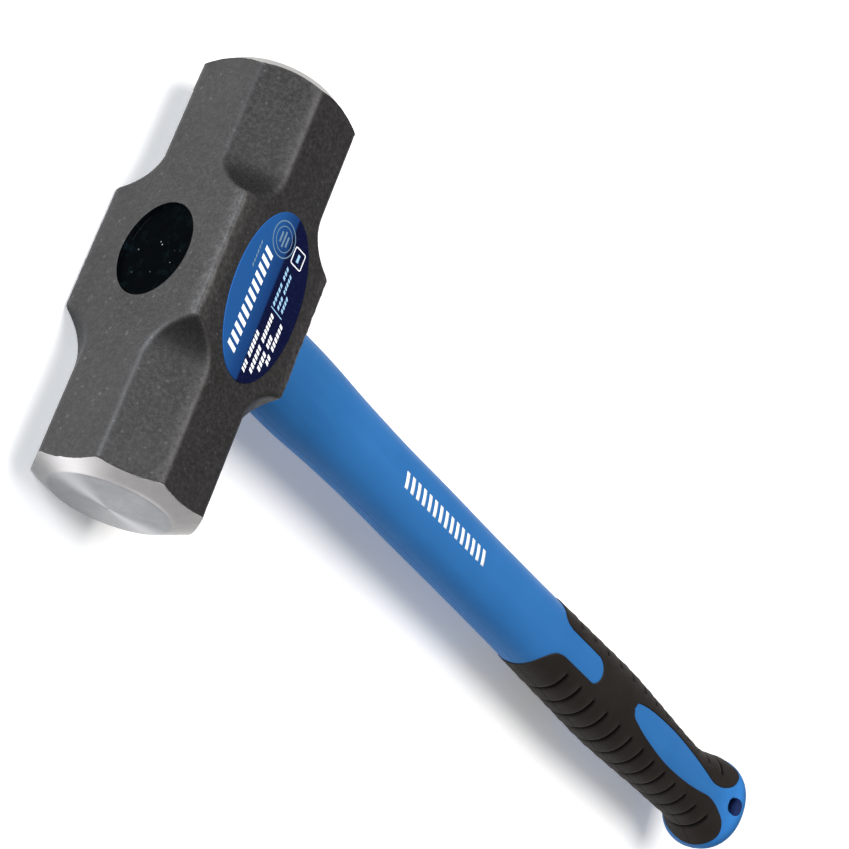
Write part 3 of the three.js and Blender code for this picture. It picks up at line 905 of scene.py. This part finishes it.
def grip_shift(distance, angle):
    """How far the grip's plain outline is moved along the handle at an angle round it."""
    on_far_side = smooth_step(np.cos(angle), 0.25, 0.75)
    under = smooth_step(-np.sin(angle), -0.1, 0.6)
    at_side = smooth_step(np.cos(angle), 0.68, 1.0)
    under = np.maximum(under, GRIP_SHIFT["back_on_far_side"] * at_side)
    front = np.clip(1 - (distance - TONGUE_EDGE[0][0]) / GRIP_SHIFT["front_fade"], 0, 1)
    back = np.clip(1 - (WINDOW_EDGE[-1][0] - distance) / GRIP_SHIFT["back_fade"], 0, 1)
    return GRIP_SHIFT["front"] * on_far_side * front - GRIP_SHIFT["back"] * under * back


def unshifted(distance, angle):
    """The place on the grip's plain outline that lands at distance, and y there."""
    plain = distance + np.zeros_like(angle)
    for _ in range(12):
        plain = distance - grip_shift(plain, angle)
    return plain, handle_points(distance, angle, np.zeros_like(plain))[..., 1]


def parting_ridge(angle, half_width_at_side):
    """A fine ridge along both sides, where the two halves of the mould met."""
    reach = np.minimum(np.abs(np.sin(angle)), 1) * half_width_at_side
    return PARTING["height"] * np.exp(-(reach / PARTING["half_width"]) ** 2)


def handle_angles():
    """Angles round the handle, closer together at both parting lines."""
    even = np.linspace(0, 2 * math.pi, 112, endpoint=False)
    fine = np.array([0.009, 0.018, 0.03])
    extra = np.concatenate([fine, math.pi - fine, math.pi + fine, 2 * math.pi - fine])
    return np.sort(np.concatenate([even, extra]))


def jacket_height(distance, angle):
    """Height of the jacket over the smooth outline: moulding ripple and the parting ridge."""
    half_y = section(distance)[0]
    base = handle_points(distance, angle, np.zeros_like(distance))
    return parting_ridge(angle, half_y) + JACKET_RIPPLE * (bumps(base, 30, 2, seed=7) - 1)


def make_jacket(blue, hole_shade):
    """The blue moulding, with its spigot, its pocket under the grip and the hollow for the core."""
    angles = handle_angles()
    distances = np.concatenate([
        [HANDLE_START, HANDLE_START + 0.25], np.arange(HANDLE_START + 1, 236, 2.2),
        np.arange(237, 396, 0.8), np.linspace(396, HANDLE_END, 26),
    ])
    d, a = np.meshgrid(distances, angles, indexing="ij")
    plain, y = unshifted(d, a)
    pocket = in_grip(plain, y) * smooth_step(outline_distance(plain, y), 0.5, 1.3)
    height = jacket_height(d, a) - GRIP["pocket"] * pocket
    height -= 0.35 * (d < HANDLE_START + 0.1)
    outside = handle_points(d, a, height)

    core_y, core_z, _, core_end = core_hollow()
    rings = [ring(core_end, core_y, core_z, angles), ring(SPIGOT["start"], core_y, core_z, angles)]
    rings += [ring(x, SPIGOT["half_width"], SPIGOT["half_thickness"], angles)
              for x in (SPIGOT["start"], HANDLE_START - 0.02)]
    rings += list(outside)
    end_y, end_z, end_offset = section(HANDLE_END)
    for share in (0.97, 0.92, 0.84, 0.72, 0.55, 0.35, 0.15):
        half_y, half_z = end_y * share, end_z * share
        rings.append(ring(HANDLE_END - 0.01, half_y, half_z, angles, SECTION_EXPONENT, end_offset))
    shell = Shell()
    loft(shell, rings)
    obj = shell.build("handle_jacket", [blue, hole_shade])
    cut(obj, make_hole_cutter([blue, hole_shade]))
    return obj


def make_handle_mark(ink):
    """A generic row of slanted stripes printed along the top of the handle."""
    mark = HANDLE_MARK
    pitch = (mark["end"] - mark["start"]) / mark["stripes"]
    u, v = np.meshgrid(np.linspace(-0.5, 0.5, 9), np.linspace(0, mark["share"], 5), indexing="ij")
    shell = Shell()
    for i in range(mark["stripes"]):
        distance = mark["start"] + (i + v) * pitch + mark["slant"] * u
        y = mark["middle_y"] + mark["height"] * u
        half_y, _, offset = section(distance)
        share = (y - offset) / half_y
        angle = np.arccos(np.sign(share) * np.abs(share) ** (SECTION_EXPONENT / 2))
        top = handle_points(distance, angle, jacket_height(distance, angle) + INK_HEIGHT)
        shell.slab(top, (0, 0, mark["thickness"]))
    return shell.build("handle_print", [ink])


def make_hole_cutter(materials):
    """The lanyard hole, with a rounded mouth at both ends."""
    angles = full_turn(72)
    half_z = section(HOLE["distance"])[1]
    reach = half_z - 0.1
    mouth = HOLE["mouth"]
    upper = []
    for t in np.linspace(0, math.pi / 2, 6):
        radius = HOLE["radius"] + mouth * (1 - math.cos(t))
        upper.append((reach - mouth * (1 - math.sin(t)), radius))
    profile = [(-z, r) for z, r in upper[::-1]] + upper
    profile = [(-reach - 3, profile[0][1] + 1.5)] + profile + [(reach + 3, profile[-1][1] + 1.5)]
    rings = []
    for z, r in profile:
        x = TOP_X / MM + HOLE["distance"] + r * np.cos(angles)
        y = HOLE["stretch"] * r * np.sin(angles)
        rings.append(np.stack([x, y, np.full_like(x, MID_Z / MM + z)], axis=-1))
    shell = Shell()
    # The hole's wall takes slot 1, the painted shade.
    loft(shell, rings, slot=1)
    return shell.build("hole_cutter", materials)


def grip_rows(groove_at):
    """Distances of the grip's rows of points, and the y of its upper edge in each row."""
    front, tip, rear = grip_inner_edge()
    groove_rows = np.add.outer(groove_at, GROOVE_ROWS).ravel()
    inner = np.vstack([front, tip, rear])
    plain_rows = np.arange(front[0][0] + 2, rear[-1][0] - 6, 1.7)
    clear = np.min(np.abs(plain_rows[:, None] - groove_at[None, :]), axis=1) > 3
    edge_rows = np.array([0, 0.1, 0.25, 0.45])
    fine = np.concatenate([front[0][0] + edge_rows, rear[-1][0] - edge_rows])
    distances = np.unique(np.round(np.concatenate([inner[:, 0], groove_rows, plain_rows[clear], fine]), 3))
    keep = np.concatenate([[True], np.diff(distances) > 0.07])
    distances = distances[keep | np.isin(distances, np.round([TONGUE_END, rear[0][0]], 3))]
    return distances, np.interp(distances, inner[:, 0], inner[:, 1])


def grip_columns():
    """Places round one side of the grip, from -1 to 1: finer at both edges and at the parting line."""
    side_length = 24.0
    edge = 1 - np.array([0, 0.1, 0.22, 0.36, 0.55, 0.85, 1.3]) / side_length
    body = np.linspace(1 - 2.1 / side_length, 0.05, 26)
    half = np.concatenate([edge, body, [0.03, 0.019, 0.011, 0.005]])
    return np.concatenate([-half, [0], half[::-1]])


def make_grip(rubber):
    """The sleeve: one sheet of points on each side, welded and given its thickness."""
    groove_at = GROOVES["first"] + GROOVES["pitch"] * np.arange(GROOVES["count"])
    distances, inner_y = grip_rows(groove_at)
    across = grip_columns()
    profile = np.array(GROOVE_PROFILE)
    shell = Shell()
    lip_highlights, crease_shades = [], []
    for side in (1, -1):
        reach = edge_angle(distances, inner_y, side)
        rows, v = np.meshgrid(distances, across, indexing="ij")
        angle = reach[:, None] * v
        window = smooth_step(rows, *BOW_START) * smooth_step(-rows, -BOW_END[1], -BOW_END[0])
        turned = angle if side > 0 else math.pi - angle
        bowed = rows + GROOVES["bow"] * np.cos(angle) ** 4 * window + grip_shift(rows, turned)
        half_y = section(bowed)[0]
        base = handle_points(bowed, turned, np.zeros_like(bowed))
        y = base[..., 1]
        rim = np.clip(outline_distance(rows, y) / GRIP["edge_radius"], 0, 1)
        height = (GRIP["proud"] + GRIP["edge_sunk"]) * np.sqrt(1 - (1 - rim) ** 2) - GRIP["edge_sunk"]
        ends = smooth_step(np.abs(y), GROOVES["inner_y"], GROOVES["inner_y"] + GROOVES["inner_fade"])
        groove = np.zeros_like(height)
        for at in groove_at:
            groove += np.interp(rows - at, profile[:, 0], profile[:, 1], left=0, right=0)
        groove *= ends * rim
        height = height + groove + parting_ridge(turned, half_y) * rim
        height = height + GRIP_RIPPLE * bumps(base, 9, 2, seed=9)
        points = handle_points(bowed, turned, height)
        ids = shell.add(points)
        shell.grid(ids if side > 0 else ids[:, ::-1], closed=False)
        # Painted highlight along the grooves' raised lips.
        lip_highlights.append(np.clip(groove / 0.14, 0, 1).ravel())
        # Painted shade in the groove bottoms and in a thin line beside the parting ridge.
        line = np.exp(-((np.abs(np.sin(angle)) * half_y - 0.32) / 0.12) ** 2) * rim
        crease_shades.append(np.maximum(np.clip(-groove / 0.38 - 0.2, 0, 1), 0.7 * line).ravel())
    obj = shell.build("handle_grip", [rubber])
    set_attribute(obj, "lip_highlight", np.concatenate(lip_highlights))
    set_attribute(obj, "crease_shade", np.concatenate(crease_shades))
    modify(obj, "WELD", merge_threshold=GRIP["weld"] * MM)
    modify(obj, "SOLIDIFY", thickness=GRIP["thickness"] * MM, offset=-1, use_even_offset=False)
    return obj


# ---- scene ----

def ride_as(obj, node):
    """Puts a piece on the only body, in place of a CAD node."""
    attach(obj, "root")
    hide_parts(node)


def make_camera():
    """The photograph's viewpoint: a long lens from above the near end, turned on its side."""
    position = Vector((-0.6415, -0.2674, 0.4489))
    target = Vector((-0.0337, 0.0388, 0.0036))
    roll = math.radians(94.59)
    back = (position - target).normalized()
    level = Vector((0, 0, 1)).cross(back).normalized()
    upright = back.cross(level)
    right = math.cos(roll) * level + math.sin(roll) * upright
    up = back.cross(right)
    camera = bpy.data.cameras.new("camera")
    camera.sensor_width = 36
    camera.lens = 104.4
    obj = add_object("camera", camera)
    obj.matrix_world = Matrix.Translation(position) @ Matrix((right, up, back)).transposed().to_4x4()
    bpy.context.scene.camera = obj


def area_light(name, position, size, power, color):
    """A round light aimed at the middle of the hammer."""
    light = bpy.data.lights.new(name, "AREA")
    light.shape = "DISK"
    light.size = size
    light.energy = power
    light.color = color
    obj = add_object(name, light)
    obj.location = position
    obj.rotation_euler = (-Vector(position)).to_track_quat("-Z", "Y").to_euler()


def make_stage():
    """The pale floor, the studio's soft light and a plain view transform."""
    corners = [(x * FLOOR_HALF_SIZE, y * FLOOR_HALF_SIZE, 0) for x, y in ((-1, -1), (1, -1), (1, 1), (-1, 1))]
    mesh = bpy.data.meshes.new("floor")
    mesh.from_pydata(corners, [], [(0, 1, 2, 3)])
    mesh.materials.append(make_floor_finish())
    floor = add_object("floor", mesh)
    floor.location.z = -FLOOR_DROP
    world = bpy.data.worlds.new("studio")
    world.use_nodes = True
    background = world.node_tree.nodes["Background"]
    background.inputs["Color"].default_value = rgb(0.96, 0.98, 1.0)
    background.inputs["Strength"].default_value = WORLD_STRENGTH
    bpy.context.scene.world = world
    for light in LIGHTS:
        area_light(*light)
    bpy.context.scene.view_settings.view_transform = "Standard"


make_camera()
make_stage()
paint = make_paint()
steel = make_steel()
blue = make_blue()
resin = make_resin()
ride_as(make_head(paint, steel, resin), "head")
ride_as(make_resin_plug(resin), "epoxy_fill")
ride_as(make_jacket(blue, make_hole_shade()), "jacket")
ride_as(make_grip(make_grip_rubber()), "grip")
white = make_ink("ink_white", (0.82, 0.84, 0.86), (0.62, 0.66, 0.72))
pale = make_ink("ink_pale", (0.30, 0.52, 0.72), (0.2, 0.38, 0.6))
grey = make_ink("ink_grey", (0.12, 0.20, 0.27), (0.08, 0.14, 0.22))
ride_as(make_film(make_label_film()), "label")
prints = [(make_label_marks(white, pale, grey), "label"), (make_handle_mark(white), "jacket")]
for print_piece, slot in prints:
    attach(print_piece, "root")
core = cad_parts["core_rod"]
core.data.materials.clear()
core.data.materials.append(make_fibreglass())
